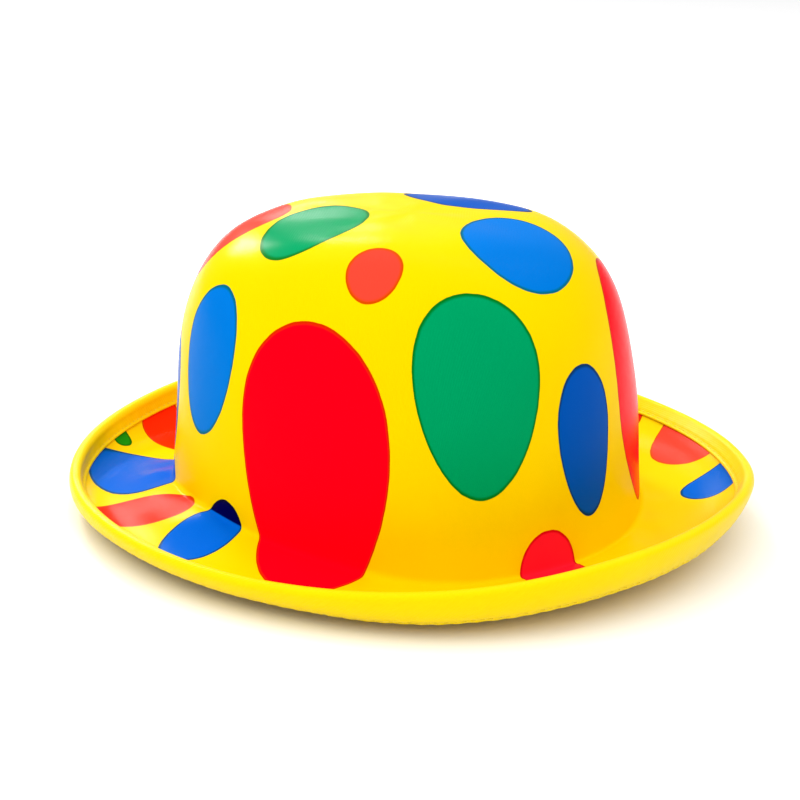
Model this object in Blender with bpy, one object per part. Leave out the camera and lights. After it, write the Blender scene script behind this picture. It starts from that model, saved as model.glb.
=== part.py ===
# Clown hat: a soft bowler moulded in one piece from foam-backed printed cloth, with a
# folded tape sewn over the edge of its rolled brim.
# Metres, +Z up. The front of the hat is towards -Y, and the hat rests on Z = 0.

import math

import bpy
import numpy as np

# Crown, measured on its outside
HEAD_WIDTH = 0.176
HEAD_LENGTH = 0.205
CROWN_HEIGHT = 0.125
CROWN_LEAN = 0.0102
CROWN_TAPER = 0.08
SIDE_POWER = 4.36
TOP_POWER = 4.27

# Brim: its greatest overhang, the height of its rim and of its root above the floor,
# how steeply it leaves the crown, and how far its end tangents reach along the overhang
BRIM_OVERHANG = 0.043
RIM_HEIGHT = 0.024
ROOT_HEIGHT = 0.0164
ROOT_DROP = math.radians(4)
TANGENT_REACH = 0.38
FOLD_REACH = 0.004

# Cloth and tape
WALL = 0.0024
REST_PRESS = 0.0008
TAPE_THICKNESS = 0.0009
TAPE_INNER_LEG = 0.007
TAPE_OUTER_LEG = 0.011
TAPE_GAP = 0.0003

# The brim all the way round: the angle from the hat's +X side in degrees, the heights of
# the root and the rim and the overhang as shares of the three sizes above, and the slope
# at the rim in degrees, where 90 stands straight up
BRIM_STATIONS = (
    # angle, root, rim, overhang, slope
    (-90, 1.00, 0.57, 0.80, 71),
    (-60, 0.62, 0.58, 0.83, 69),
    (-30, 0.10, 0.73, 0.96, 93),
    (0, 0.00, 0.99, 1.00, 98),
    (30, 0.04, 1.06, 0.99, 82),
    (60, 0.22, 0.87, 0.94, 58),
    (90, 0.26, 0.82, 0.91, 47),
    (120, 0.18, 0.93, 0.94, 58),
    (150, 0.04, 1.01, 0.99, 77),
    (180, 0.01, 0.90, 1.00, 91),
    (210, 0.30, 0.69, 0.96, 97),
    (240, 0.79, 0.58, 0.89, 95),
)

# Facets
COLUMNS = 64
CROWN_ROWS = 12
FOLD_ROWS = 2
BRIM_ROWS = 6
INNER_LEG_ROWS = 3
OUTER_LEG_ROWS = 2
TURN_ROWS = 5
CURVE_STEPS = 400
SHARP_ANGLE = math.radians(50)

# Finishes
CLOTH_COLOUR = (0.93, 0.72, 0.0)
CLOTH_ROUGHNESS = 0.55
TAPE_COLOUR = (0.96, 0.80, 0.0)
TAPE_ROUGHNESS = 0.45


def around(column, angles):
    """A column of BRIM_STATIONS at any angles: a smooth closed curve through its rows."""
    values = np.array([row[column] for row in BRIM_STATIONS], float)
    count = len(values)
    start = math.radians(BRIM_STATIONS[0][0])
    place = (angles - start) / math.tau * count
    row = np.floor(place).astype(int)
    t = place - row
    before, here, after, beyond = [values[(row + step) % count] for step in (-1, 0, 1, 2)]
    bend = 2 * before - 5 * here + 4 * after - beyond
    twist = 3 * here - before - 3 * after + beyond
    return here + 0.5 * (t * (after - before) + t**2 * bend + t**3 * twist)


def root_height(angles):
    """Height of the brim's upper face where it leaves the crown."""
    return around(1, angles) * ROOT_HEIGHT + WALL - REST_PRESS


def crown_points(turn, angles):
    """The crown's outside: turn runs from 0 at the top's middle to 1 at the root, and the
    two powers square its side and its top."""
    out = np.sin(turn * math.pi / 2) ** (2 / SIDE_POWER)
    up = np.cos(turn * math.pi / 2) ** (2 / TOP_POWER)
    out = out * (1 - CROWN_TAPER * up)
    x = HEAD_WIDTH / 2 * out * np.cos(angles)
    y = HEAD_LENGTH / 2 * out * np.sin(angles) - CROWN_LEAN * up
    z = up * CROWN_HEIGHT + (1 - up) * root_height(angles)
    return np.stack([x, y, z], -1)


def brim_points(t, angles):
    """The brim's upper face: one cubic curve for each angle, from the root at t = 0, which
    it leaves a little downwards, to the rim at t = 1, where it stands up. Where the brim
    would dip below the floor it lies flat on it."""
    root = root_height(angles)
    rim = around(2, angles) * RIM_HEIGHT
    overhang = around(3, angles) * BRIM_OVERHANG
    slope = np.radians(around(4, angles))
    reach = TANGENT_REACH * overhang
    first = 3 * t * (1 - t) ** 2
    second = 3 * t**2 * (1 - t)
    last = t**3
    out = first * reach * math.cos(ROOT_DROP)
    out += second * (overhang - reach * np.cos(slope)) + last * overhang
    z = (1 - t) ** 3 * root + first * (root - reach * math.sin(ROOT_DROP))
    z += second * (rim - reach * np.sin(slope)) + last * rim
    z = np.maximum(z, WALL)
    x = (HEAD_WIDTH / 2 + out) * np.cos(angles)
    y = (HEAD_LENGTH / 2 + out) * np.sin(angles)
    return np.stack([x, y, z], -1)


def lengths_along(points):
    """Distance along each column of a grid from its first row."""
    steps = np.linalg.norm(np.diff(points, axis=0), axis=-1)
    return np.vstack([np.zeros((1, steps.shape[1])), np.cumsum(steps, axis=0)])


def at_lengths(points, wanted):
    """The points of each column that lie at the wanted distances along it."""
    along = lengths_along(points)
    picked = np.empty(wanted.shape + (3,))
    for column in range(points.shape[1]):
        for axis in range(3):
            values = points[:, column, axis]
            picked[:, column, axis] = np.interp(wanted[:, column], along[:, column], values)
    return picked


def upper_face():
    """The printed face as a grid, rows from the crown's middle to the rim. The last rows
    lie under the tape, at the distances where its legs have theirs."""
    angles = np.arange(COLUMNS) / COLUMNS * math.tau
    fine = np.linspace(0, 1, CURVE_STEPS)[:, None]

    crown = crown_points(fine, angles[None, :])
    crown_length = lengths_along(crown)[-1]
    shares = np.linspace(0, 1, CROWN_ROWS)[:, None]
    crown_rows = at_lengths(crown, shares * (crown_length - FOLD_REACH))

    brim = brim_points(fine, angles[None, :])
    brim_length = lengths_along(brim)[-1]
    shares = np.linspace(0, 1, BRIM_ROWS)[:, None]
    free = brim_length - TAPE_OUTER_LEG - FOLD_REACH
    brim_rows = at_lengths(brim, FOLD_REACH + shares * free)
    leg_rows = at_lengths(brim, brim_length - leg_distances()[1:, None])

    corner = crown_points(np.ones((1, 1)), angles[None, :])
    t = np.linspace(0, 1, FOLD_ROWS + 2)[1:-1, None, None]
    fold_rows = (1 - t) ** 2 * crown_rows[-1] + 2 * t * (1 - t) * corner + t**2 * brim_rows[0]
    return np.concatenate([crown_rows, fold_rows, brim_rows, leg_rows])


def leg_distances():
    """How far from the rim the rows under the tape lie, the farthest first."""
    outer = np.linspace(TAPE_OUTER_LEG, TAPE_INNER_LEG, OUTER_LEG_ROWS + 1)[:-1]
    inner = np.linspace(TAPE_INNER_LEG, 0, INNER_LEG_ROWS + 1)
    return np.concatenate([outer, inner])


def directions(grid):
    """Unit vectors of a grid that is closed round: along its columns and out of its face."""
    along = np.gradient(grid, axis=0)
    along /= np.linalg.norm(along, axis=-1, keepdims=True) + 1e-12
    across = np.roll(grid, -1, axis=1) - np.roll(grid, 1, axis=1)
    out = np.cross(along, across)
    length = np.linalg.norm(out, axis=-1, keepdims=True)
    out = np.where(length > 1e-9, out / np.maximum(length, 1e-9), (0, 0, 1))
    return along, out


def body_skins():
    """The printed face and the face under it, a wall apart."""
    upper = upper_face()
    lower = upper - WALL * directions(upper)[1]
    lower[..., 2] = np.maximum(lower[..., 2], 0)
    return upper, lower


def tape_loop(upper):
    """Rows round the folded tape, as a closed loop: over the rim on the outside of the
    tape, then back along its inside, a gap away from the cloth."""
    along, out = directions(upper)
    rows = len(leg_distances())
    face = upper[-rows:]
    normal = out[-rows:]
    near = TAPE_GAP
    far = TAPE_GAP + TAPE_THICKNESS
    inner_leg = slice(OUTER_LEG_ROWS, None)

    def over_rim(clearance, count):
        turn = np.linspace(0, math.pi, count)[:, None, None]
        middle = face[-1] - WALL / 2 * normal[-1]
        half = WALL / 2 + clearance
        return middle + half * np.cos(turn) * normal[-1] + half * np.sin(turn) * along[-1]

    outside = [
        face[inner_leg][:-1] + far * normal[inner_leg][:-1],
        over_rim(far, TURN_ROWS),
        (face - (WALL + far) * normal)[::-1][1:],
    ]
    inside = [
        face[:-1] - (WALL + near) * normal[:-1],
        over_rim(near, TURN_ROWS)[::-1],
        (face[inner_leg][:-1] + near * normal[inner_leg][:-1])[::-1],
    ]
    return np.concatenate(outside + inside)


def grid_faces(rows, first, closed):
    """Quads of a grid that is closed round its columns, and round its rows too if asked."""
    faces = []
    for row in range(rows if closed else rows - 1):
        below = first + row * COLUMNS
        above = first + (row + 1) % rows * COLUMNS
        for column in range(COLUMNS):
            beside = (column + 1) % COLUMNS
            faces.append((below + column, above + column, above + beside, below + beside))
    return faces


def add_object(name, vertices, faces, colour, roughness):
    """A mesh object with its own material."""
    mesh = bpy.data.meshes.new(name)
    mesh.from_pydata(vertices, [], faces)
    mesh.validate()
    mesh.shade_smooth()
    mesh.set_sharp_from_angle(angle=SHARP_ANGLE)
    material = bpy.data.materials.new(name)
    material.use_nodes = True
    shader = material.node_tree.nodes["Principled BSDF"]
    shader.inputs["Base Color"].default_value = (*colour, 1)
    shader.inputs["Roughness"].default_value = roughness
    shader.inputs["Metallic"].default_value = 0
    mesh.materials.append(material)
    item = bpy.data.objects.new(name, mesh)
    bpy.context.scene.collection.objects.link(item)
    return item


def add_body(upper, lower, centre):
    """The crown and brim: one wall with its two faces joined at the rim, and one vertex in
    the middle of the crown on each face."""
    rings = np.concatenate([upper[1:], lower[:0:-1]]) - centre
    rows = len(rings)
    tops = np.array([upper[0, 0], lower[0, 0]]) - centre
    vertices = np.concatenate([rings.reshape(-1, 3), tops])
    faces = grid_faces(rows, 0, closed=False)
    outer_top = rows * COLUMNS
    last_ring = (rows - 1) * COLUMNS
    for column in range(COLUMNS):
        beside = (column + 1) % COLUMNS
        faces.append((outer_top, column, beside))
        faces.append((outer_top + 1, last_ring + beside, last_ring + column))
    return add_object("hat_body", vertices.tolist(), faces, CLOTH_COLOUR, CLOTH_ROUGHNESS)


def add_binding(loop, centre):
    """The folded tape, a ring with the section of a U."""
    vertices = (loop - centre).reshape(-1, 3).tolist()
    faces = grid_faces(len(loop), 0, closed=True)
    return add_object("rim_binding", vertices, faces, TAPE_COLOUR, TAPE_ROUGHNESS)


def build():
    for item in list(bpy.data.objects):
        bpy.data.objects.remove(item, do_unlink=True)
    upper, lower = body_skins()
    loop = tape_loop(upper)
    flat = loop.reshape(-1, 3)
    centre = (flat.min(axis=0) + flat.max(axis=0)) / 2
    centre[2] = 0
    add_body(upper, lower, centre)
    add_binding(loop, centre)


build()
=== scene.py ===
import math

import bpy
import numpy as np
from mathutils import Matrix, Vector


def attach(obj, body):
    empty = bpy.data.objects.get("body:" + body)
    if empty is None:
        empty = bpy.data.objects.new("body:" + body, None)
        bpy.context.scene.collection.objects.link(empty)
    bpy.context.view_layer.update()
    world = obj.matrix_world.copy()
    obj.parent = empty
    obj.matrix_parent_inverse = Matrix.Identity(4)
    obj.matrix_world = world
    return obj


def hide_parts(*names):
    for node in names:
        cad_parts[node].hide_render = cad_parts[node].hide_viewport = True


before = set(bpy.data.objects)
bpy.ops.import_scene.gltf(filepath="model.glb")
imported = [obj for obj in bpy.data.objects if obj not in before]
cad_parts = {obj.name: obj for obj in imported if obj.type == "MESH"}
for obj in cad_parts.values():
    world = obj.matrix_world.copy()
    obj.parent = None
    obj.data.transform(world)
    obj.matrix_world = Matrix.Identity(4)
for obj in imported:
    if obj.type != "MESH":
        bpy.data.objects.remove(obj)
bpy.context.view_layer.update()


# Hat body. One piece of satin-faced cloth on thin soft foam, yellow with printed dots, is
# heated and pressed over a bowler-shaped mould. The crown is drawn deep, which stretches
# the dots; the brim is one with it and its sides are rolled up by hand.

HEAD_WIDTH = 0.176
HEAD_LENGTH = 0.205
CROWN_HEIGHT = 0.125
CROWN_LEAN = 0.0102
CROWN_TAPER = 0.08
SIDE_POWER = 4.36
TOP_POWER = 4.27
BRIM_OVERHANG = 0.043
RIM_HEIGHT = 0.024
ROOT_HEIGHT = 0.0164
ROOT_DROP = math.radians(4)
TANGENT_REACH = 0.38
FOLD_REACH = 0.0025
WALL = 0.0024
REST_PRESS = 0.0008

BRIM_STATIONS = (
    # angle, root, rim, overhang, slope
    (-90, 1.00, 0.57, 0.80, 71),
    (-60, 0.62, 0.58, 0.83, 69),
    (-30, 0.10, 0.73, 0.96, 93),
    (0, 0.00, 0.99, 1.00, 98),
    (30, 0.04, 1.06, 0.99, 82),
    (60, 0.22, 0.87, 0.94, 58),
    (90, 0.26, 0.82, 0.91, 47),
    (120, 0.18, 0.93, 0.94, 58),
    (150, 0.04, 1.01, 0.99, 77),
    (180, 0.01, 0.90, 1.00, 91),
    (210, 0.30, 0.69, 0.96, 97),
    (240, 0.79, 0.58, 0.89, 95),
)

COLUMNS = 384
CROWN_ROWS = 62
FOLD_ROWS = 6
BRIM_ROWS = 34
CURVE_STEPS = 400
NO_LENGTH = 1e-9

# The frame's origin, the middle of the hat's outline in plan, seen from the mould's middle
OUTLINE_CENTRE = np.array([0.0000585, 0.0023196, 0.0])

# The soft cloth is calm near the crown's middle and along the rim, and puckers at the fold
CALM_TOP = 0.03
CALM_RIM, CALM_FADE = 0.012, 0.02
PUCKER_PLACE, PUCKER_SPREAD = 0.006, 0.007
DENTS = (
    # depth, waves round, start, run along, start along
    (0.00042, 3, 0.7, 0.0143, 1.1),
    (0.000252, 7, -1.9, 0.0088, 0.4),
)
PUCKERS = (
    # depth, waves round, unevenness, start
    (0.00030, 17, 2.0, 0.0),
    (0.00021, 29, 0.0, 1.3),
)

# Dots where the cloth was printed flat: the ink, the centre and the two radii in
# millimetres from the crown's middle with X to the hat's left, the tilt of the long radius
# in degrees, and where the dot shows: everywhere, or on the brim's side of the fold alone
DOTS = (
    # ink, x, y, long, short, tilt, where
    ("coral and sheen", 46.5, -48.1, 14.5, 10.3, -57, "all"),
    ("green", -3.6, -44.0, 33.3, 18.3, -60, "all"),
    ("green", 105.6, -34.5, 39.5, 30.4, -21, "all"),
    ("blue", 48.7, 14.9, 27.6, 22.5, -30, "all"),
    ("blue", -5.6, -119.5, 29.6, 23.6, 83, "all"),
    ("shaded blue", 133.0, 28.6, 31.2, 22.4, 17, "all"),
    ("red", 79.0, -125.3, 56.2, 46.7, -52, "all"),
    ("red", 93.3, 92.0, 52.4, 38.0, 37, "all"),
    ("crimson", 183.0, -4.9, 25.5, 17.0, 86, "all"),
    ("navy", 25.6, -186.7, 23.2, 18.2, 18, "all"),
    ("strip blue", 25.6, -186.7, 23.2, 18.2, 18, "brim"),
    ("orange red", -42.0, -191.5, 36.5, 13.8, 15, "all"),
    ("strip blue", -116.3, -152.2, 56.8, 22.2, -22, "all"),
    ("leaf green", -183.4, -119.5, 9.4, 5.4, -41, "all"),
    ("orange red", -193.0, -80.2, 34.1, 16.5, -24, "all"),
    ("coral and sheen", 60.4, 227.9, 39.8, 25.6, -24, "all"),
    ("strip blue", 133.6, 182.1, 24.8, 18.4, -47, "all"),
    ("shaded blue", -9.7, 37.3, 29.5, 16.4, 33, "all"),
    ("coral and sheen", -50.5, -55.0, 29.0, 26.5, 90, "all"),
    ("shaded blue", -71.5, -121.5, 27.0, 24.0, 60, "all"),
    ("green", -78.0, 8.0, 34.0, 24.0, 15, "all"),
    ("red", -52.0, 92.0, 46.0, 37.0, -30, "all"),
    ("blue", -128.0, -42.0, 27.0, 22.0, 40, "all"),
    ("red", -152.0, 32.0, 40.0, 30.0, 70, "all"),
    ("blue", -120.0, 88.0, 24.0, 18.0, -50, "all"),
    ("green", 20.0, 125.0, 34.0, 24.0, 75, "all"),
    ("blue", 20.0, 184.0, 30.0, 17.0, 5, "all"),
    ("coral and sheen", 62.0, 160.0, 13.0, 10.0, 30, "all"),
    ("red", -24.0, 222.0, 26.0, 15.0, 0, "all"),
    ("coral and sheen", -84.0, 172.0, 32.0, 20.0, 25, "all"),
    ("green", -154.0, 132.0, 30.0, 20.0, -40, "all"),
    ("strip blue", -202.0, 62.0, 30.0, 18.0, 75, "all"),
    ("coral and sheen", -200.0, 5.0, 14.0, 11.0, 80, "all"),
)
INKS = {
    # the ink itself, and its edge, where it overlaps the yellow
    "red": ((0.97, 0.0, 0.008), (0.62, 0.02, 0.0)),
    # a red made lighter than the plain red ink: the lightness is in part a painted sheen of soft
    # reflection, in part the ink's own tint
    "coral and sheen": ((0.95, 0.055, 0.03), (0.62, 0.06, 0.0)),
    "orange red": ((0.95, 0.022, 0.0), (0.62, 0.04, 0.0)),
    "crimson": ((0.93, 0.010, 0.03), (0.62, 0.0, 0.004)),
    "green": ((0.0, 0.31, 0.107), (0.0, 0.17, 0.01)),
    "leaf green": ((0.01, 0.27, 0.004), (0.0, 0.15, 0.0)),
    "blue": ((0.0, 0.17, 0.62), (0.0, 0.13, 0.19)),
    # the blue ink made darker: this darkness is painted shade on the dots it marks, not a different ink
    "shaded blue": ((0.0, 0.08, 0.44), (0.0, 0.035, 0.12)),
    "strip blue": ((0.0, 0.12, 0.64), (0.0, 0.06, 0.17)),
    "navy": ((0.0, 0.0, 0.07), (0.0, 0.002, 0.02)),
}
CLOTH_YELLOW = (0.92, 0.62, 0.0)
BACK_YELLOW = (0.88, 0.58, 0.01)
MM = 0.001
DOT_EDGE = 0.0006
SHARP_SHARE = 0.4
RING_SHARES = (0.9, 2.8)
DOT_WOBBLE = 0.0003
WOBBLE_SCALE = 160.0
CLOTH_THREADS = 420.0
BACK_THREADS = 260.0
FIBRES_PER_THREAD = 1.7
BROAD_SCALE = 22.0
SLANT_HEIGHT, FIBRE_HEIGHT = 0.6, 0.8
BROAD_TONE, FIBRE_TONE = 0.7, 0.3
CLOTH_TONES = (0.93, 1.05)
CLOTH_ROUGHNESS = (0.17, 0.27)
BACK_TONES = (0.85, 1.0)


def around(column, angles):
    """A column of BRIM_STATIONS at any angles: the closed Catmull-Rom curve through its
    rows, h + (t (a - b) + t^2 (2b - 5h + 4a - c) + t^3 (3h - b - 3a + c)) / 2."""
    values = np.array([row[column] for row in BRIM_STATIONS], float)
    count = len(values)
    place = (angles - math.radians(BRIM_STATIONS[0][0])) / math.tau * count
    row = np.floor(place).astype(int)
    t = place - row
    before, here, after, beyond = [values[(row + step) % count] for step in (-1, 0, 1, 2)]
    bend = 2 * before - 5 * here + 4 * after - beyond
    twist = 3 * here - before - 3 * after + beyond
    return here + 0.5 * (t * (after - before) + t**2 * bend + t**3 * twist)


def crown_points(turn, angles):
    """The crown's outside: sin and cos of a quarter turn, each raised to two over its
    power, go out from the middle and up to the top; it tapers and leans forward."""
    out = np.sin(turn * math.pi / 2) ** (2 / SIDE_POWER)
    up = np.cos(turn * math.pi / 2) ** (2 / TOP_POWER)
    out = out * (1 - CROWN_TAPER * up)
    root = around(1, angles) * ROOT_HEIGHT + WALL - REST_PRESS
    x = HEAD_WIDTH / 2 * out * np.cos(angles)
    y = HEAD_LENGTH / 2 * out * np.sin(angles) - CROWN_LEAN * up
    return np.stack([x, y, up * CROWN_HEIGHT + (1 - up) * root], -1)


def brim_points(t, angles):
    """The brim's upper face: for each angle the cubic Bezier curve from the root, which
    it leaves a little downwards, to the rim, where it stands up, kept off the floor."""
    root = around(1, angles) * ROOT_HEIGHT + WALL - REST_PRESS
    rim = around(2, angles) * RIM_HEIGHT
    overhang = around(3, angles) * BRIM_OVERHANG
    slope = np.radians(around(4, angles))
    reach = TANGENT_REACH * overhang
    first, second, last = 3 * t * (1 - t) ** 2, 3 * t**2 * (1 - t), t**3
    out = first * reach * math.cos(ROOT_DROP)
    out += second * (overhang - reach * np.cos(slope)) + last * overhang
    z = (1 - t) ** 3 * root + first * (root - reach * math.sin(ROOT_DROP))
    z += second * (rim - reach * np.sin(slope)) + last * rim
    x = (HEAD_WIDTH / 2 + out) * np.cos(angles)
    y = (HEAD_LENGTH / 2 + out) * np.sin(angles)
    return np.stack([x, y, np.maximum(z, WALL)], -1)


def lengths_along(points):
    """Distance along each column of a grid from its first row."""
    steps = np.linalg.norm(np.diff(points, axis=0), axis=-1)
    return np.vstack([np.zeros((1, steps.shape[1])), np.cumsum(steps, axis=0)])


def at_lengths(points, wanted):
    """The points of each column at the wanted distances along it: between the rows on
    either side, a + (b - a) (wanted - A) / (B - A)."""
    along = lengths_along(points)
    row = (along[:, None, :] <= wanted[None]).sum(axis=0) - 1
    row = np.clip(row, 0, len(points) - 2)
    start = np.take_along_axis(along, row, axis=0)
    end = np.take_along_axis(along, row + 1, axis=0)
    share = ((wanted - start) / np.maximum(end - start, NO_LENGTH))[..., None]
    a = np.take_along_axis(points, row[..., None], axis=0)
    b = np.take_along_axis(points, row[..., None] + 1, axis=0)
    return a + (b - a) * share


def directions(grid):
    """Unit vectors of a grid that is closed round: along its columns and out of its face,
    the cross product of its two differences."""
    along = np.gradient(grid, axis=0)
    along /= np.linalg.norm(along, axis=-1, keepdims=True) + NO_LENGTH
    across = np.roll(grid, -1, axis=1) - np.roll(grid, 1, axis=1)
    out = np.cross(along, across)
    length = np.linalg.norm(out, axis=-1, keepdims=True)
    out = np.where(length > NO_LENGTH, out / np.maximum(length, NO_LENGTH), (0, 0, 1))
    return along, out


def printed_face(angles):
    """The printed face as a grid from the crown's middle to the rim: crown rows, a fold
    rounded by a quadratic curve about the corner, and brim rows."""
    fine = np.linspace(0, 1, CURVE_STEPS)[:, None]
    crown = crown_points(fine, angles[None, :])
    shares = np.linspace(0, 1, CROWN_ROWS)[:, None]
    crown_rows = at_lengths(crown, shares * (lengths_along(crown)[-1] - FOLD_REACH))
    brim = brim_points(fine, angles[None, :])
    shares = np.linspace(0, 1, BRIM_ROWS)[:, None]
    free = lengths_along(brim)[-1] - FOLD_REACH
    brim_rows = at_lengths(brim, FOLD_REACH + shares * free)
    corner = crown_points(np.ones((1, 1)), angles[None, :])
    t = np.linspace(0, 1, FOLD_ROWS + 2)[1:-1, None, None]
    fold_rows = (1 - t) ** 2 * crown_rows[-1] + 2 * t * (1 - t) * corner + t**2 * brim_rows[0]
    return np.concatenate([crown_rows, fold_rows, brim_rows])


def ring_quads(rows, columns, closed=False):
    """Quads of a grid that is closed round its columns, and round its rows too if asked."""
    row = np.arange(rows if closed else rows - 1)[:, None]
    column = np.arange(columns)[None, :]
    beside = (column + 1) % columns
    low, high = row * columns, (row + 1) % rows * columns
    quads = np.stack([low + column, high + column, high + beside, low + beside], -1)
    return quads.reshape(-1, 4)


def fill_mesh(name, vertices, quads, triangles=None):
    """A smooth mesh object at the origin from arrays of vertices, quads and triangles."""
    triangles = np.empty((0, 3), int) if triangles is None else triangles
    loops = np.concatenate([quads.ravel(), triangles.ravel()])
    sizes = np.concatenate([np.full(len(quads), 4), np.full(len(triangles), 3)])
    mesh = bpy.data.meshes.new(name)
    mesh.vertices.add(len(vertices))
    mesh.vertices.foreach_set("co", vertices.astype(np.float32).ravel())
    mesh.loops.add(len(loops))
    mesh.loops.foreach_set("vertex_index", loops.astype(np.int32))
    mesh.polygons.add(len(sizes))
    mesh.polygons.foreach_set("loop_start", (np.cumsum(sizes) - sizes).astype(np.int32))
    mesh.polygons.foreach_set("loop_total", sizes.astype(np.int32))
    mesh.update(calc_edges=True)
    mesh.validate()
    mesh.shade_smooth()
    item = bpy.data.objects.new(name, mesh)
    bpy.context.scene.collection.objects.link(item)
    return item


def corner_vertices(item):
    """The vertex at each face corner of a piece, in the mesh's own order."""
    corners = np.empty(len(item.data.loops), np.int32)
    item.data.loops.foreach_get("vertex_index", corners)
    return corners


def add_uv_map(item, name, places):
    """A UV map with one place for each face corner."""
    layer = item.data.uv_layers.new(name=name)
    layer.data.foreach_set("uv", places.astype(np.float32).ravel())


def node(tree, kind, settings=None, **sockets):
    """A shader node with its settings, and each socket linked or given a value. A socket
    goes by its name with _ for a space, or by its number as _0, _1 and so on."""
    made = tree.nodes.new(kind)
    for name, value in (settings or {}).items():
        setattr(made, name, value)
    for name, value in sockets.items():
        key = int(name[1:]) if name[1:].isdigit() else name.replace("_", " ")
        socket = made.inputs[key]
        if isinstance(value, bpy.types.NodeSocket):
            tree.links.new(value, socket)
        else:
            socket.default_value = value
    return made


def math_node(tree, operation, a, b=0.0, c=0.0):
    """The result of a Math node."""
    return node(tree, "ShaderNodeMath", {"operation": operation}, _0=a, _1=b, _2=c).outputs[0]


def mix_colour(tree, factor, a, b, blend="MIX"):
    """The result of a colour Mix node."""
    mixer = node(tree, "ShaderNodeMix", {"data_type": "RGBA", "blend_type": blend},
                 _0=factor, _6=a, _7=b)
    return mixer.outputs[2]


def spread(tree, value, low, high):
    """A value of 0 to 1 spread between two others."""
    return node(tree, "ShaderNodeMapRange", Value=value, To_Min=low, To_Max=high).outputs[0]


def toned(tree, colour, tone, low, high):
    """A colour darkened or lightened by a tone of 0 to 1, between two brightnesses."""
    shade = spread(tree, tone, low, high)
    shade = node(tree, "ShaderNodeCombineXYZ", X=shade, Y=shade, Z=shade).outputs[0]
    return mix_colour(tree, 1.0, colour, shade, "MULTIPLY")


def soft_step(tree, value, start, end):
    """0 below the start, 1 above the end, and a smooth step between them."""
    return node(tree, "ShaderNodeMapRange", {"interpolation_type": "SMOOTHSTEP"},
                Value=value, From_Min=start, From_Max=end).outputs[0]


def new_material(name):
    """A material with its node tree and its Principled shader."""
    material = bpy.data.materials.new(name)
    material.use_nodes = True
    return material, material.node_tree, material.node_tree.nodes["Principled BSDF"]


def new_group(name, inputs, outputs):
    """A shader node group with its sockets, and its two end nodes."""
    group = bpy.data.node_groups.new(name, "ShaderNodeTree")
    for label, kind in inputs:
        group.interface.new_socket(label, in_out="INPUT", socket_type=kind)
    for label, kind in outputs:
        group.interface.new_socket(label, in_out="OUTPUT", socket_type=kind)
    return group, group.nodes.new("NodeGroupInput"), group.nodes.new("NodeGroupOutput")


def printed_dot_group():
    """One dot: 1 inside an ellipse about a centre, with a soft edge, and a ring inside it
    where the inks overlap."""
    group, given, result = new_group(
        "printed dot",
        [("Place", "NodeSocketVector"), ("Centre", "NodeSocketVector"), ("Radii", "NodeSocketVector"),
         ("Tilt", "NodeSocketFloat"), ("Edge", "NodeSocketFloat")],
        [("Mask", "NodeSocketFloat"), ("Ring", "NodeSocketFloat")],
    )
    offset = node(group, "ShaderNodeVectorMath", {"operation": "SUBTRACT"},
                  _0=given.outputs["Place"], _1=given.outputs["Centre"]).outputs[0]
    back = math_node(group, "MULTIPLY", given.outputs["Tilt"], -1.0)
    turned = node(group, "ShaderNodeVectorRotate", {"rotation_type": "Z_AXIS"},
                  Vector=offset, Angle=back).outputs[0]
    scaled = node(group, "ShaderNodeVectorMath", {"operation": "DIVIDE"},
                  _0=turned, _1=given.outputs["Radii"]).outputs[0]
    flat = node(group, "ShaderNodeVectorMath", {"operation": "MULTIPLY"},
                _0=scaled, _1=(1, 1, 0)).outputs[0]
    reach = node(group, "ShaderNodeVectorMath", {"operation": "LENGTH"}, _0=flat).outputs["Value"]
    size = node(group, "ShaderNodeSeparateXYZ", Vector=given.outputs["Radii"]).outputs[1]
    inside = math_node(group, "MULTIPLY", math_node(group, "SUBTRACT", 1.0, reach), size)
    sharp, ring_start, ring_end = [
        math_node(group, "MULTIPLY", given.outputs["Edge"], share) for share in (SHARP_SHARE, *RING_SHARES)
    ]
    mask = soft_step(group, inside, 0.0, sharp)
    deep = soft_step(group, inside, ring_start, ring_end)
    group.links.new(mask, result.inputs["Mask"])
    group.links.new(math_node(group, "SUBTRACT", 1.0, deep), result.inputs["Ring"])
    return group


def satin_weave_group():
    """Satin cloth: slanting bands where its floats step from thread to thread, the fine
    fibres of the threads, and a broad unevenness."""
    group, given, result = new_group(
        "satin weave",
        [("Place", "NodeSocketVector"), ("Threads", "NodeSocketFloat")],
        [("Height", "NodeSocketFloat"), ("Tone", "NodeSocketFloat")],
    )
    place = given.outputs["Place"]
    waves = node(group, "ShaderNodeTexWave", {"wave_type": "BANDS", "bands_direction": "DIAGONAL"},
                 Vector=place, Scale=given.outputs["Threads"], Distortion=1.2, Detail=2.0,
                 Detail_Scale=0.4).outputs[1]
    fibres = node(group, "ShaderNodeTexNoise", Vector=place,
                  Scale=math_node(group, "MULTIPLY", given.outputs["Threads"], FIBRES_PER_THREAD),
                  Detail=3.0).outputs[0]
    broad = node(group, "ShaderNodeTexNoise", Vector=place, Scale=BROAD_SCALE,
                 Detail=3.0, Roughness=0.55).outputs[0]
    height = math_node(group, "MULTIPLY", fibres, FIBRE_HEIGHT)
    height = math_node(group, "MULTIPLY_ADD", waves, SLANT_HEIGHT, height)
    group.links.new(height, result.inputs["Height"])
    tone = math_node(group, "MULTIPLY", fibres, FIBRE_TONE)
    tone = math_node(group, "MULTIPLY_ADD", broad, BROAD_TONE, tone)
    group.links.new(tone, result.inputs["Tone"])
    return group


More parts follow.
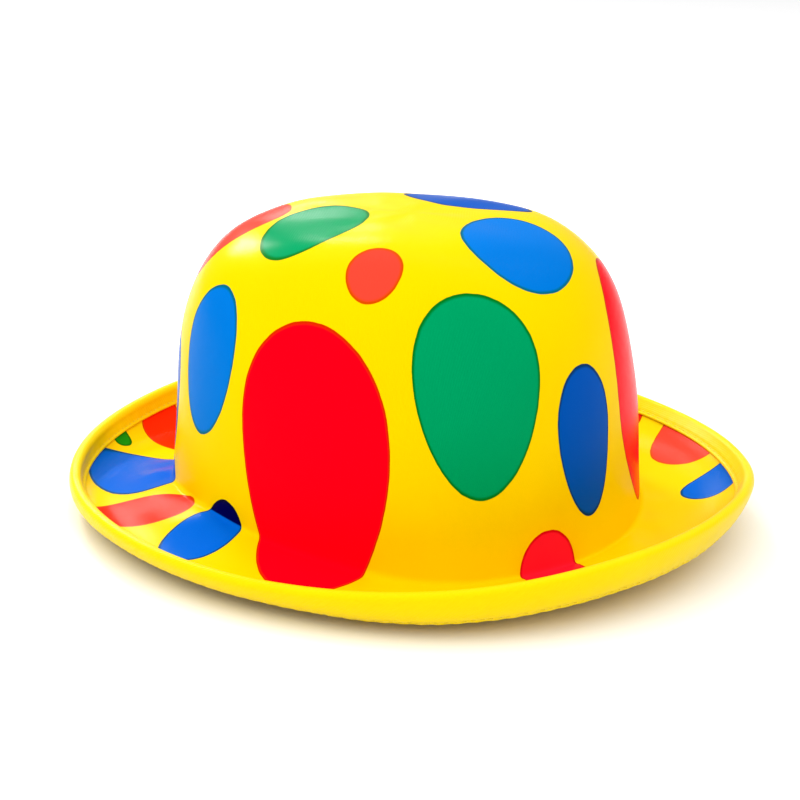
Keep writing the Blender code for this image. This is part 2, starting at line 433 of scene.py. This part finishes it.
def printed_cloth_material():
    """Yellow satin with the dots of the chart printed on it. The darker blue ink paints shade, and the
    lighter coral ink is in part a painted sheen.
    """
    material, tree, shader = new_material("printed cloth")
    place = node(tree, "ShaderNodeUVMap", {"uv_map": "flat cloth"}).outputs[0]
    weave = node(tree, "ShaderNodeGroup", {"node_tree": satin_weave_group()},
                 Place=place, Threads=CLOTH_THREADS)
    noise = node(tree, "ShaderNodeTexNoise", Vector=place, Scale=WOBBLE_SCALE, Detail=2.0).outputs[1]
    uneven = node(tree, "ShaderNodeVectorMath", {"operation": "MULTIPLY_ADD"},
                  _0=noise, _1=(2 * DOT_WOBBLE, 2 * DOT_WOBBLE, 0), _2=place).outputs[0]
    uneven = node(tree, "ShaderNodeVectorMath", {"operation": "SUBTRACT"},
                  _0=uneven, _1=(DOT_WOBBLE, DOT_WOBBLE, 0)).outputs[0]
    dot_group = printed_dot_group()
    brim_side = node(tree, "ShaderNodeAttribute", {"attribute_name": "brim side"}).outputs["Fac"]
    colour = (*CLOTH_YELLOW, 1)
    for ink, x, y, long, short, tilt, where in DOTS:
        dot = node(tree, "ShaderNodeGroup", {"node_tree": dot_group}, Place=uneven,
                   Centre=(x * MM, y * MM, 0), Radii=(long * MM, short * MM, 1),
                   Tilt=math.radians(tilt), Edge=DOT_EDGE)
        mask = dot.outputs["Mask"]
        if where == "brim":
            mask = math_node(tree, "MULTIPLY", mask, brim_side)
        fill, edge = INKS[ink]
        ink_colour = mix_colour(tree, dot.outputs["Ring"], (*fill, 1), (*edge, 1))
        colour = mix_colour(tree, mask, colour, ink_colour)
    colour = toned(tree, colour, weave.outputs["Tone"], *CLOTH_TONES)
    tree.links.new(colour, shader.inputs["Base Color"])
    roughness = spread(tree, weave.outputs["Tone"], *CLOTH_ROUGHNESS)
    tree.links.new(roughness, shader.inputs["Roughness"])
    bump = node(tree, "ShaderNodeBump", Strength=0.2, Distance=0.0002, Height=weave.outputs["Height"])
    tree.links.new(bump.outputs[0], shader.inputs["Normal"])
    shader.inputs["IOR"].default_value = 1.07
    shader.inputs["Specular Tint"].default_value = (0.0, 0.0, 0.0, 1)
    return material


def plain_back_material():
    """The backing of the foam: plain yellow cloth with no dots and no gloss."""
    material, tree, shader = new_material("plain backing")
    place = node(tree, "ShaderNodeUVMap", {"uv_map": "flat cloth"}).outputs[0]
    weave = node(tree, "ShaderNodeGroup", {"node_tree": bpy.data.node_groups["satin weave"]},
                 Place=place, Threads=BACK_THREADS)
    colour = toned(tree, (*BACK_YELLOW, 1), weave.outputs["Tone"], *BACK_TONES)
    tree.links.new(colour, shader.inputs["Base Color"])
    bump = node(tree, "ShaderNodeBump", Strength=0.35, Distance=0.0003, Height=weave.outputs["Height"])
    tree.links.new(bump.outputs[0], shader.inputs["Normal"])
    shader.inputs["Roughness"].default_value = 0.85
    return material


def smooth_step(share):
    """0 up to 0, 1 from 1 on, and 3 s^2 - 2 s^3 between them."""
    share = np.clip(share, 0, 1)
    return share**2 * (3 - 2 * share)


def soft_dents(grid, angles):
    """How far the soft cloth stands off its mould. A dent is d sin(n angle + start) times
    sin(length / run + start); a pucker, d sin(n angle + u sin(3 angle) + start), is kept
    to the fold by a bell curve; both fade out at the crown's middle and at the rim."""
    length = lengths_along(grid)
    from_rim = length[-1] - length
    from_fold = length - length[CROWN_ROWS + FOLD_ROWS // 2]
    calm = smooth_step(length / CALM_TOP) * smooth_step((from_rim - CALM_RIM) / CALM_FADE)
    near_fold = np.exp(-(((from_fold - PUCKER_PLACE) / PUCKER_SPREAD) ** 2))
    height = np.zeros_like(length)
    for depth, waves, start, run, start_along in DENTS:
        height += depth * np.sin(waves * angles + start) * np.sin(length / run + start_along)
    for depth, waves, unevenness, start in PUCKERS:
        turns = waves * angles + unevenness * np.sin(3 * angles) + start
        height += depth * near_fold * np.sin(turns)
    return calm * height


angles = np.arange(COLUMNS) / COLUMNS * math.tau
upper = printed_face(angles)
flat_length = lengths_along(upper)
upper = upper + soft_dents(upper, angles)[..., None] * directions(upper)[1]
upper[..., 2] = np.maximum(upper[..., 2], WALL)
lower = upper - WALL * directions(upper)[1]
lower[..., 2] = np.maximum(lower[..., 2], 0)

rings = np.concatenate([upper[1:], lower[:0:-1]]) - OUTLINE_CENTRE
tops = np.array([upper[0, 0], lower[0, 0]]) - OUTLINE_CENTRE
column = np.arange(COLUMNS)
beside = (column + 1) % COLUMNS
outer_top = len(rings) * COLUMNS
last_ring = (len(rings) - 1) * COLUMNS
top_faces = np.stack([np.full(COLUMNS, outer_top), column, beside], -1)
under_faces = np.stack([np.full(COLUMNS, outer_top + 1), last_ring + beside, last_ring + column], -1)
body = fill_mesh(
    "hat_body_cloth",
    np.concatenate([rings.reshape(-1, 3), tops]),
    ring_quads(len(rings), COLUMNS),
    np.concatenate([top_faces, under_faces]),
)

reach = np.concatenate([flat_length[1:], flat_length[:0:-1]])
flat_places = np.stack([reach * np.cos(angles), reach * np.sin(angles)], -1).reshape(-1, 2)
flat_places = np.concatenate([flat_places, np.zeros((2, 2))])
add_uv_map(body, "flat cloth", flat_places[corner_vertices(body)])

brim_side = np.arange(1, len(upper)) >= CROWN_ROWS + FOLD_ROWS / 2 - 1
brim_side = np.repeat(np.concatenate([brim_side, brim_side[::-1]]), COLUMNS)
brim_side = np.concatenate([brim_side, [0, 0]]).astype(np.float32)
body.data.attributes.new("brim side", "FLOAT", "POINT").data.foreach_set("value", brim_side)

body.data.materials.append(printed_cloth_material())
body.data.materials.append(plain_back_material())
PRINTED, PLAIN = 0, 1
printed_quads = (len(upper) - 1) * COLUMNS
all_quads = (len(rings) - 1) * COLUMNS
faces = np.full(len(body.data.polygons), PLAIN, np.int32)
faces[:printed_quads] = PRINTED
faces[all_quads:all_quads + len(top_faces)] = PRINTED
body.data.polygons.foreach_set("material_index", faces)
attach(body, "root")
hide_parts("hat_body")


# Rim binding. A plain yellow satin tape, folded lengthways over the cut edge of the brim,
# the wider leg outside. Its stitches pull it in along a line near each of its edges, and
# it puckers a little between them; its one end laps over the other at the back.

TAPE_THICKNESS = 0.0009
TAPE_INNER_LEG = 0.007
TAPE_OUTER_LEG = 0.011
TAPE_GAP = 0.0003
SEAM_INSET = 0.0018
SEAM_DEPTH = 0.00032
SEAM_WIDTH = 0.0009
TAPE_PUCKER = 0.0001
PUCKERS_ROUND = 132
SWELLS_ROUND, SWELL_SHARE = 31, 0.5
TAPE_LAP = 0.0003
LAP_START, LAP_END = math.radians(104), math.radians(107)
EDGE_SHARE, EDGE_RUN = 0.55, 0.0007
FACE_STEP = 0.0004
TAPE_THREADS = 380.0
TAPE_COLUMNS = 792
INNER_ROWS, OUTER_ROWS, TURN_ROWS, HIDDEN_ROWS = 16, 22, 13, 6
TAPE_YELLOW = (0.94, 0.68, 0.002)
TAPE_TONES = (0.90, 1.05)
TAPE_ROUGHNESS = (0.30, 0.42)


def tape_rows(distances, side, clearance, angles):
    """Rows beside the brim at distances from its rim, on its upper face (side 1) or its
    lower face (side -1), a clearance away from the cloth; also their two directions."""
    fine = np.linspace(0, 1, CURVE_STEPS)[:, None]
    brim = brim_points(fine, angles[None, :])
    rim_length = lengths_along(brim)[-1]
    wanted = rim_length - distances[:, None]
    here = at_lengths(brim, wanted)
    ahead = at_lengths(brim, np.minimum(wanted + FACE_STEP, rim_length))
    along = ahead - at_lengths(brim, wanted - FACE_STEP)
    along /= np.linalg.norm(along, axis=-1, keepdims=True)
    across = np.roll(here, -1, axis=1) - np.roll(here, 1, axis=1)
    out = np.cross(along, across)
    out /= np.linalg.norm(out, axis=-1, keepdims=True)
    away = clearance if side > 0 else -(WALL + clearance)
    return here + away * out, along, out


def over_rim(clearance, count, angles):
    """Half a turn about the rim's edge, from the upper face to the lower face."""
    edge, along, out = tape_rows(np.zeros(1), 1, 0.0, angles)
    turn = np.linspace(0, math.pi, count)[:, None, None]
    half = WALL / 2 + clearance
    return edge - WALL / 2 * out + half * np.cos(turn) * out + half * np.sin(turn) * along


def lap_height(angles):
    """How much higher the tape is where its end lies on its beginning: one step."""
    return TAPE_LAP * ((angles > LAP_START) & (angles < LAP_END))[:, None]


def leg_face(distances, side, angles):
    """The tape's own outside on one leg: pressed in along the seam by a bell curve,
    rounded down at its edge by a square root, and swollen between the stitches by two
    sine waves round the rim, which grow from nothing at the fold."""
    leg = distances.max()
    seam = np.exp(-(((leg - SEAM_INSET - distances) / SEAM_WIDTH) ** 2))
    edge = np.sqrt(np.clip((leg - distances) / EDGE_RUN, 0, 1))
    swell = np.sin(PUCKERS_ROUND * angles + side) + SWELL_SHARE * np.sin(SWELLS_ROUND * angles)
    thick = TAPE_THICKNESS * (EDGE_SHARE + (1 - EDGE_SHARE) * edge) - SEAM_DEPTH * seam
    clearance = TAPE_GAP + thick[:, None] + TAPE_PUCKER * (distances / leg)[:, None] * swell
    return tape_rows(distances, side, clearance[..., None] + lap_height(angles), angles)[0]


def tape_section(angles):
    """The folded tape as a closed loop of rows: over the rim on its outside, back inside."""
    inner = np.linspace(TAPE_INNER_LEG, 0, INNER_ROWS)[:-1]
    outer = np.linspace(TAPE_OUTER_LEG, 0, OUTER_ROWS)[:-1]
    inner_hidden = np.linspace(TAPE_INNER_LEG, 0, HIDDEN_ROWS)[:-1]
    outer_hidden = np.linspace(TAPE_OUTER_LEG, 0, HIDDEN_ROWS)[:-1]
    return np.concatenate([
        leg_face(inner, 1, angles),
        over_rim(TAPE_GAP + TAPE_THICKNESS + lap_height(angles), TURN_ROWS, angles),
        leg_face(outer, -1, angles)[::-1],
        tape_rows(outer_hidden, -1, TAPE_GAP, angles)[0],
        over_rim(TAPE_GAP, HIDDEN_ROWS, angles)[::-1],
        tape_rows(inner_hidden[::-1], 1, TAPE_GAP, angles)[0],
    ])


def tape_material():
    """Plain yellow satin tape, less glossy than the printed cloth."""
    material, tree, shader = new_material("binding tape")
    place = node(tree, "ShaderNodeUVMap", {"uv_map": "along tape"}).outputs[0]
    weave = node(tree, "ShaderNodeGroup", {"node_tree": bpy.data.node_groups["satin weave"]},
                 Place=place, Threads=TAPE_THREADS)
    colour = toned(tree, (*TAPE_YELLOW, 1), weave.outputs["Tone"], *TAPE_TONES)
    tree.links.new(colour, shader.inputs["Base Color"])
    roughness = spread(tree, weave.outputs["Tone"], *TAPE_ROUGHNESS)
    tree.links.new(roughness, shader.inputs["Roughness"])
    bump = node(tree, "ShaderNodeBump", Strength=0.45, Distance=0.0002, Height=weave.outputs["Height"])
    tree.links.new(bump.outputs[0], shader.inputs["Normal"])
    shader.inputs["IOR"].default_value = 1.2
    shader.inputs["Specular Tint"].default_value = (0.0, 0.0, 0.0, 1)
    return material


tape_angles = np.arange(TAPE_COLUMNS) / TAPE_COLUMNS * math.tau
tape_grid = tape_section(tape_angles) - OUTLINE_CENTRE
tape_grid[..., 2] = np.maximum(tape_grid[..., 2], 0)
tape_quads = ring_quads(len(tape_grid), TAPE_COLUMNS, closed=True)
tape = fill_mesh("rim_binding_tape", tape_grid.reshape(-1, 3), tape_quads)

across_tape = lengths_along(tape_grid)
rim_ring = tape_grid[INNER_ROWS]
rim_steps = np.linalg.norm(np.roll(rim_ring, -1, axis=0) - rim_ring, axis=-1)
round_rim = np.concatenate([[0], np.cumsum(rim_steps)])
tape_places = np.stack([np.broadcast_to(round_rim[:-1], across_tape.shape), across_tape], -1)
corners = corner_vertices(tape).reshape(-1, 4)
places = tape_places.reshape(-1, 2)[corners]
rows, columns = corners // TAPE_COLUMNS, corners % TAPE_COLUMNS
past_end = (columns == TAPE_COLUMNS - 1).any(axis=1, keepdims=True) & (columns == 0)
places[past_end, 0] = round_rim[-1]
past_edge = (rows == len(tape_grid) - 1).any(axis=1, keepdims=True) & (rows == 0)
places[past_edge, 1] = across_tape.max() + TAPE_THICKNESS
add_uv_map(tape, "along tape", places)
tape.data.materials.append(tape_material())
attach(tape, "root")
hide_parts("rim_binding")


# Binding stitches. One line of lockstitch in thread of the tape's own yellow, sewn right
# through, so that it shows along the seam on both legs.

STITCH_PITCH = 0.0032
STITCH_LENGTH = 0.0024
THREAD_RADIUS = 0.00022
STITCH_ROWS, THREAD_SIDES = 7, 6
SUNK_SHARE = 0.4
END_SINK = 1.2
END_THIN = 0.02
THREAD_YELLOW = (0.90, 0.66, 0.002)
THREAD_TONES = (0.7, 1.15)
FIBRE_SCALE = 2400.0


def stitch_line(distance, side, angles):
    """One stitch for each angle, lying round the rim on a leg: rings about p + s t, with
    s from -1 to 1 along it, sunk by s^2 and thinned by the root of 1 - s^4 at its ends."""
    lift = TAPE_GAP + TAPE_THICKNESS - SEAM_DEPTH + THREAD_RADIUS * SUNK_SHARE
    middle, along, out = [rows[0] for rows in tape_rows(np.array([distance]), side, lift, angles)]
    out = out * side
    tangent = np.roll(middle, -1, axis=0) - np.roll(middle, 1, axis=0)
    tangent /= np.linalg.norm(tangent, axis=-1, keepdims=True)
    share = np.linspace(-1, 1, STITCH_ROWS)[None, :, None, None]
    radius = THREAD_RADIUS * np.sqrt(np.clip(1 - share**4, END_THIN, 1))
    turn = (np.arange(THREAD_SIDES) / THREAD_SIDES * math.tau)[None, None, :, None]
    ring = radius * (np.cos(turn) * out[:, None, None] + np.sin(turn) * along[:, None, None] * side)
    sink = END_SINK * THREAD_RADIUS * share**2 * out[:, None, None]
    path = middle[:, None, None] + share * STITCH_LENGTH / 2 * tangent[:, None, None]
    return path + ring - sink


def thread_quads(stitches, rows, sides):
    """Quads of many short tubes, and the triangle fans that close their two ends."""
    base = (np.arange(stitches) * rows * sides)[:, None, None]
    row = np.arange(rows - 1)[None, :, None] * sides
    place = np.arange(sides)[None, None, :]
    beside = (place + 1) % sides
    quads = np.stack([base + row + place, base + row + beside, base + row + sides + beside,
                      base + row + sides + place], -1).reshape(-1, 4)
    base = base[:, :, 0]
    fan = np.arange(1, sides - 1)[None, :]
    start = np.stack(np.broadcast_arrays(base, base + fan + 1, base + fan), -1).reshape(-1, 3)
    last = base + (rows - 1) * sides
    end = np.stack(np.broadcast_arrays(last, last + fan, last + fan + 1), -1).reshape(-1, 3)
    return quads, np.concatenate([start, end])


stitch_count = round(round_rim[-1] / STITCH_PITCH)
stitch_places = np.arange(stitch_count) / stitch_count * round_rim[-1]
stitch_angles = np.interp(stitch_places, round_rim, np.append(tape_angles, math.tau))
threads = np.concatenate([
    stitch_line(TAPE_INNER_LEG - SEAM_INSET, 1, stitch_angles),
    stitch_line(TAPE_OUTER_LEG - SEAM_INSET, -1, stitch_angles),
]) - OUTLINE_CENTRE
quads, ends = thread_quads(len(threads), STITCH_ROWS, THREAD_SIDES)
stitches = fill_mesh("binding_stitches", threads.reshape(-1, 3), quads, ends)
thread_material, thread_tree, thread_shader = new_material("thread")
thread_place = node(thread_tree, "ShaderNodeTexCoord").outputs["Object"]
fibres = node(thread_tree, "ShaderNodeTexNoise", Vector=thread_place,
              Scale=FIBRE_SCALE, Detail=2.0).outputs[0]
thread_colour = toned(thread_tree, (*THREAD_YELLOW, 1), fibres, *THREAD_TONES)
thread_tree.links.new(thread_colour, thread_shader.inputs["Base Color"])
thread_shader.inputs["Roughness"].default_value = 0.55
stitches.data.materials.append(thread_material)
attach(stitches, "root")


# Stage: a white floor, a large soft light overhead, two softer ones in front, three small
# ones behind for the satin's highlights, and the camera a little above the hat.

FLOOR_SIZE = 16.0
FLOOR_DROP = 0.0002
WORLD_STRENGTH = 0.36

half = FLOOR_SIZE / 2
floor_corners = [(-half, -half, 0), (half, -half, 0), (half, half, 0), (-half, half, 0)]
floor_mesh = bpy.data.meshes.new("floor")
floor_mesh.from_pydata(floor_corners, [], [(0, 1, 2, 3)])
floor = bpy.data.objects.new("floor", floor_mesh)
floor.location.z = -FLOOR_DROP
bpy.context.scene.collection.objects.link(floor)
floor_material, _, floor_shader = new_material("floor")
floor_shader.inputs["Base Color"].default_value = (0.94, 0.94, 0.94, 1)
floor_shader.inputs["Roughness"].default_value = 1.0
floor_shader.inputs["Specular IOR Level"].default_value = 0.0
floor_mesh.materials.append(floor_material)

LIGHTS = (
    # name, azimuth, elevation, distance, width, height, power
    ("overhead", 50, 80, 3.0, 7.0, 7.0, 224),
    ("front", 55, 14, 1.6, 1.6, 0.7, 2.2),
    ("left", -25, 28, 1.2, 0.8, 0.8, 2.0),
    ("back left low", 240, 17, 1.6, 0.3, 0.12, 0.9),
    ("back left high", 263, 29, 1.5, 0.3, 0.14, 10),
    ("back middle", 240, 37, 1.5, 0.2, 0.12, 2.6),
)


def direction(azimuth, elevation):
    """The unit vector out of the hat at an azimuth from its front and an elevation."""
    level = math.cos(elevation)
    return Vector((math.sin(azimuth) * level, -math.cos(azimuth) * level, math.sin(elevation)))


for name, azimuth, elevation, distance, width, height, power in LIGHTS:
    lamp = bpy.data.lights.new(name, "AREA")
    lamp.shape = "RECTANGLE"
    lamp.size = width
    lamp.size_y = height
    lamp.energy = power
    holder = bpy.data.objects.new(name, lamp)
    out = direction(math.radians(azimuth), math.radians(elevation))
    holder.location = out * distance
    holder.rotation_euler = out.to_track_quat("Z", "Y").to_euler()
    bpy.context.scene.collection.objects.link(holder)

world = bpy.data.worlds.new("studio")
world.use_nodes = True
background = world.node_tree.nodes["Background"]
background.inputs["Color"].default_value = (1, 1, 1, 1)
background.inputs["Strength"].default_value = WORLD_STRENGTH
bpy.context.scene.world = world
bpy.context.scene.view_settings.view_transform = "Standard"

AIM_HEIGHT = 0.0566
CAMERA_DISTANCE = 0.771
CAMERA_AZIMUTH = math.radians(50)
CAMERA_ELEVATION = math.radians(17.45)
CAMERA_ROLL = math.radians(3.65)
FOCAL_SHARE = 2.352
SENSOR_WIDTH = 36
PICTURE_SHIFT = (-0.0244, -0.0341)
camera_data = bpy.data.cameras.new("camera")
camera_data.sensor_width = SENSOR_WIDTH
camera_data.lens = SENSOR_WIDTH * FOCAL_SHARE
camera_data.shift_x, camera_data.shift_y = PICTURE_SHIFT
camera = bpy.data.objects.new("camera", camera_data)
aim = Vector((-OUTLINE_CENTRE[0], -OUTLINE_CENTRE[1], AIM_HEIGHT))
toward = direction(CAMERA_AZIMUTH, CAMERA_ELEVATION)
place = Matrix.Translation(aim + toward * CAMERA_DISTANCE)
facing = toward.to_track_quat("Z", "Y").to_matrix().to_4x4()
camera.matrix_world = place @ facing @ Matrix.Rotation(CAMERA_ROLL, 4, "Z")
bpy.context.scene.collection.objects.link(camera)
bpy.context.scene.camera = camera
